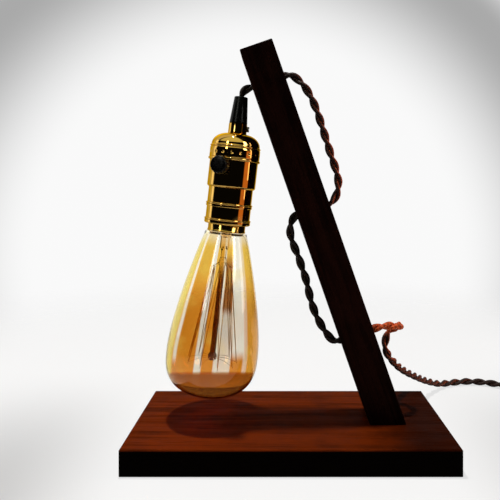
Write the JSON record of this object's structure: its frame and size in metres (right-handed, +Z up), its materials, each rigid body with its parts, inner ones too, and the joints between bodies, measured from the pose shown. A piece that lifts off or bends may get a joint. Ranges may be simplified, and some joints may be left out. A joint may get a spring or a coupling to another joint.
{
  "type": "table lamp",
  "caption": "Table lamp with a leaning wooden post on a flat board, a twisted cord laced through the post, and a hanging brass lampholder with a large bare pear-shaped bulb.",
  "frame": {"origin": "middle of the base board's underside, on the floor plane", "axes": "+Z up, +X to the right seen from the front, -Y towards the viewer; the post leans towards -X"},
  "size_m": [0.4002, 0.201, 0.2798],
  "materials": {
    "board_wood": "oiled, warm reddish brown",
    "post_wood": "dark stain, satin",
    "cord_cloth": "woven cover, dark copper brown",
    "black_plastic": "moulded, glossy",
    "plug_plastic": "moulded, satin",
    "antique_brass": "dark lacquered, polished",
    "bright_brass": "bright",
    "plain_steel": "zinc plated",
    "ceramic": "glazed insulating block",
    "fibre": "pressed fibre board",
    "strap": "matte strap",
    "amber_glass": "clear amber tint",
    "stem_glass": "dark amber glass",
    "black_glass": "vitreous black",
    "filament_wire": "fine drawn wire",
    "solder": "dull tin"
  },
  "bodies": {
    "stand": {"base_board": "board_wood", "post": "post_wood", "post_screws": "plain_steel", "cord_laced": "cord_cloth", "cord_tail": "cord_cloth", "cord_coil": "cord_cloth", "coil_tie": "strap", "cord_end": "cord_cloth", "plug_lower": "plug_plastic", "plug_upper": "plug_plastic", "plug_pins": "plain_steel", "plug_screw": "plain_steel", "plug_relief": "plug_plastic"},
    "cord_drop": {"cord_drop": "cord_cloth"},
    "lampholder": {"cord_grip": "black_plastic", "neck_screw": "antique_brass", "nipple": "antique_brass", "socket_cap": "antique_brass", "upper_shell": "antique_brass", "insulating_liner": "fibre", "switch_core": "ceramic", "switch_leaves": "bright_brass", "inner_leads": "plug_plastic", "terminal_screws": "bright_brass", "core_screws": "plain_steel", "centre_contact": "bright_brass", "screw_shell": "bright_brass", "shell_sleeve": "fibre", "lower_shell": "antique_brass", "shade_ring_upper": "antique_brass", "shade_ring_lower": "antique_brass"},
    "knob": {"switch_knob": "black_plastic", "switch_spindle": "plain_steel"},
    "bulb_contact": {"bulb_tip": "solder", "bulb_insulator": "black_glass"},
    "bulb": {"bulb_cap": "bright_brass", "bulb_glass": "amber_glass", "glass_stem": "stem_glass", "bulb_leads": "filament_wire", "filament": "filament_wire", "filament_hooks": "filament_wire"}
  },
  "joints": [
    {"name": "cord_sway", "type": "hinge", "parent": "stand", "child": "cord_drop", "pos_m": [-0.02634, 0, 0.2493], "axis": [1, 0, 0], "range_deg": [-15, 15]},
    {"name": "pendant_swing", "type": "hinge", "parent": "cord_drop", "child": "lampholder", "pos_m": [-0.03404, 0, 0.2421], "axis": [0, 1, 0], "range_deg": [-8, 25], "stiffness_Nm_per_rad": 0.3, "springref_deg": 2.29},
    {"name": "knob_turn", "type": "hinge", "parent": "lampholder", "child": "knob", "pos_m": [-0.03958, 0, 0.19271], "axis": [-0.2906, -0.9563, 0.0326], "continuous": true},
    {"name": "bulb_travel", "type": "slide", "parent": "lampholder", "child": "bulb_contact", "axis": [-0.1115, 0, -0.9938], "range_m": [0, 0.00907]},
    {"name": "bulb_turn", "type": "hinge", "parent": "bulb_contact", "child": "bulb", "pos_m": [-0.04295, 0, 0.1626], "axis": [-0.1115, 0, -0.9938], "range_deg": [0, 900]}
  ],
  "couplings": [
    {"joint": "bulb_turn", "follows": "bulb_travel", "rad_per_m": 1731.4}
  ]
}
